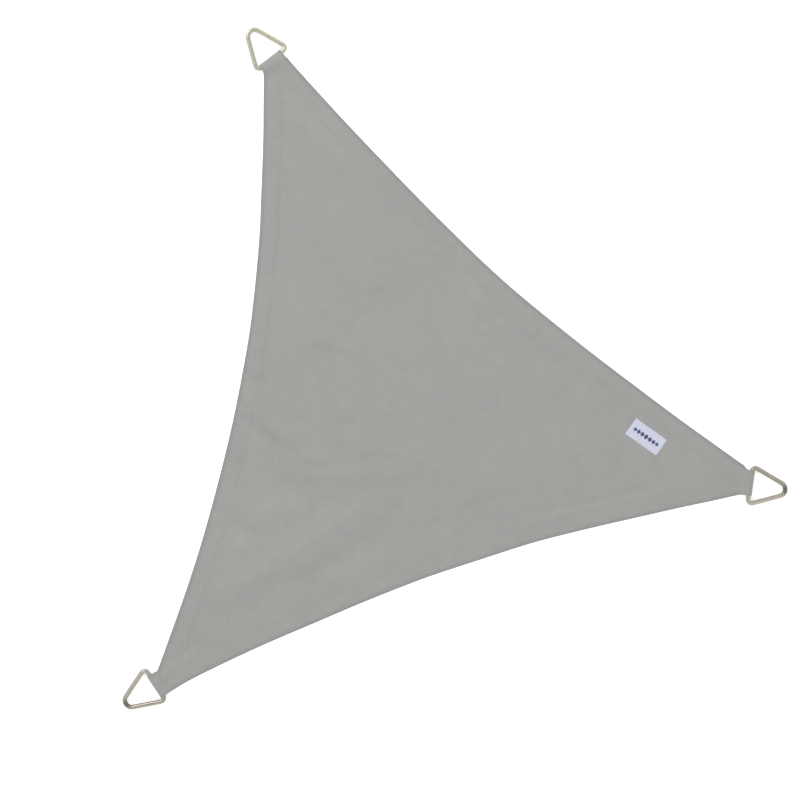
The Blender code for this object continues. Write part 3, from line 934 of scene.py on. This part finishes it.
def makeLabel():
    bm = bmesh.new()
    bmesh.ops.create_grid(
        bm, x_segments=label["cuts"][0], y_segments=label["cuts"][1], size=0.5
    )
    halfLength, halfWidth = label["length"] / 2, label["width"] / 2
    for vert in bm.verts:
        x, y = vert.co.x * label["length"], vert.co.y * label["width"]
        rim = min(halfLength - abs(x), halfWidth - abs(y))
        sunk = math.exp(-(((rim - label["border"]) / label["sinkWidth"]) ** 2))
        ripple = label["ripple"] * (math.sin(x * 90 + 0.7) * math.cos(y * 120) - 1)
        vert.co = (x, y, label["top"] - label["sink"] * sunk + ripple)
    bmesh.ops.transform(bm, matrix=labelPlace(), verts=bm.verts[:])
    piece = finishPiece("cornerLabel", bm, labelMaterial(), "label")
    sheet = piece.modifiers.new("sheet thickness", "SOLIDIFY")
    sheet.thickness = label["thick"]
    sheet.offset = -1.0
    return piece


def makeLozenges():
    bm = bmesh.new()
    for middle, halfLength, halfWidth in label["lozenges"]:
        place = Matrix.Translation((middle, 0.0, label["top"] - label["lozengeSink"]))
        made = bmesh.ops.create_circle(
            bm,
            cap_ends=True,
            segments=4,
            radius=1.0,
            matrix=place @ Matrix.Diagonal((halfLength, halfWidth, 1.0, 1.0)),
        )["verts"]
        face = made[0].link_faces[0]
        for inset, rise in label["lozengeSteps"]:
            bmesh.ops.inset_region(bm, faces=[face], thickness=inset, depth=rise)
    bmesh.ops.recalc_face_normals(bm, faces=bm.faces[:])
    bmesh.ops.transform(bm, matrix=labelPlace(), verts=bm.verts[:])
    return finishPiece(
        "labelLozenges", bm, threadMaterial("blue silk", label["lozengeColour"])
    )


def makeLabelStitching():
    x, y = label["length"] / 2 - label["border"], label["width"] / 2 - label["border"]
    corners = np.array(((-x, -y), (x, -y), (x, y), (-x, y), (-x, -y)))
    samples = label["stitchSamples"]
    heights = np.full(samples, label["top"] - label["sink"])
    rows = [
        stitchRow(np.linspace(start, end, samples), heights, label["stitch"])
        for start, end in zip(corners[:-1], corners[1:])
    ]
    bm = stitchMesh(rows, label["stitch"])
    bmesh.ops.transform(bm, matrix=labelPlace(), verts=bm.verts[:])
    return finishPiece(
        "labelStitching", bm, threadMaterial("white thread", label["threadColour"])
    )


cornerLabel = makeLabel()
labelLozenges = makeLozenges()
labelStitching = makeLabelStitching()
print("label made")


studio = {
    "floorHalf": 9.0,
    "floorDrop": 0.0002,
    "floorColour": (0.94, 0.94, 0.94),
    "floorGlow": 0.40,  # a light table, so that no shadow shows
    "lampPower": 100.0,
    "lampFrom": (-0.42, 0.91, 1.0),  # on the sail's plan
    "lampAway": 7.0,
    "lampSize": 2.5,
    "skyTop": 0.50,
    "skyRim": 1.85,  # up to skyFrom above the horizon
    "skyFrom": 0.2,
    "sensor": 36.0,
    "cameraHeight": 6.0,
    "viewWidth": 2.296,
    "viewMiddle": (0.9791, 0.5938),  # on the sail's plan
    "viewTurn": -18.533,
}


def makeFloor():
    bm = bmesh.new()
    bmesh.ops.create_grid(bm, x_segments=1, y_segments=1, size=studio["floorHalf"])
    mesh = bpy.data.meshes.new("studioFloor")
    bm.to_mesh(mesh)
    bm.free()
    shader = Shader("pale floor")
    shader.feed(
        shader.principled,
        Base_Color=(*studio["floorColour"], 1.0),
        Roughness=0.9,
        Emission_Color=(1.0, 1.0, 1.0, 1.0),
        Emission_Strength=studio["floorGlow"],
    )
    shader.principled.inputs["Specular IOR Level"].default_value = 0.0
    mesh.materials.append(shader.material)
    floor = bpy.data.objects.new("studioFloor", mesh)
    floor.location.z = -studio["floorDrop"]
    bpy.context.scene.collection.objects.link(floor)


def makeLight():
    softbox = bpy.data.lights.new("softbox", "AREA")
    softbox.energy = studio["lampPower"]
    softbox.size = studio["lampSize"]
    way = Vector(studio["lampFrom"]).normalized()
    lamp = bpy.data.objects.new("softbox", softbox)
    lamp.location = (*(Vector(studio["viewMiddle"]) + planShift), 0.0)
    lamp.location += way * studio["lampAway"]
    lamp.rotation_euler = way.to_track_quat("Z", "Y").to_euler()
    bpy.context.scene.collection.objects.link(lamp)

    world = bpy.data.worlds.new("studio sky")
    bpy.context.scene.world = world
    world.use_nodes = True
    nodes, links = world.node_tree.nodes, world.node_tree.links
    split = nodes.new("ShaderNodeSeparateXYZ")
    span = nodes.new("ShaderNodeMapRange")
    span.inputs["From Min"].default_value = studio["skyFrom"]
    span.inputs["From Max"].default_value = 1.0
    span.inputs["To Min"].default_value = studio["skyRim"]
    span.inputs["To Max"].default_value = studio["skyTop"]
    links.new(nodes.new("ShaderNodeTexCoord").outputs["Generated"], split.inputs[0])
    links.new(split.outputs["Z"], span.inputs["Value"])
    links.new(span.outputs["Result"], nodes["Background"].inputs["Strength"])
    nodes["Background"].inputs["Color"].default_value = (1.0, 1.0, 1.0, 1.0)


def makeCamera():
    camera = bpy.data.objects.new("camera", bpy.data.cameras.new("camera"))
    camera.data.sensor_width = studio["sensor"]
    camera.data.lens = studio["sensor"] * studio["cameraHeight"] / studio["viewWidth"]
    camera.location = (
        *(Vector(studio["viewMiddle"]) + planShift), studio["cameraHeight"]
    )
    camera.rotation_euler.z = math.radians(studio["viewTurn"])
    bpy.context.scene.collection.objects.link(camera)
    bpy.context.scene.camera = camera
    bpy.context.scene.view_settings.view_transform = "Standard"


makeFloor()
makeLight()
makeCamera()
print("studio made")
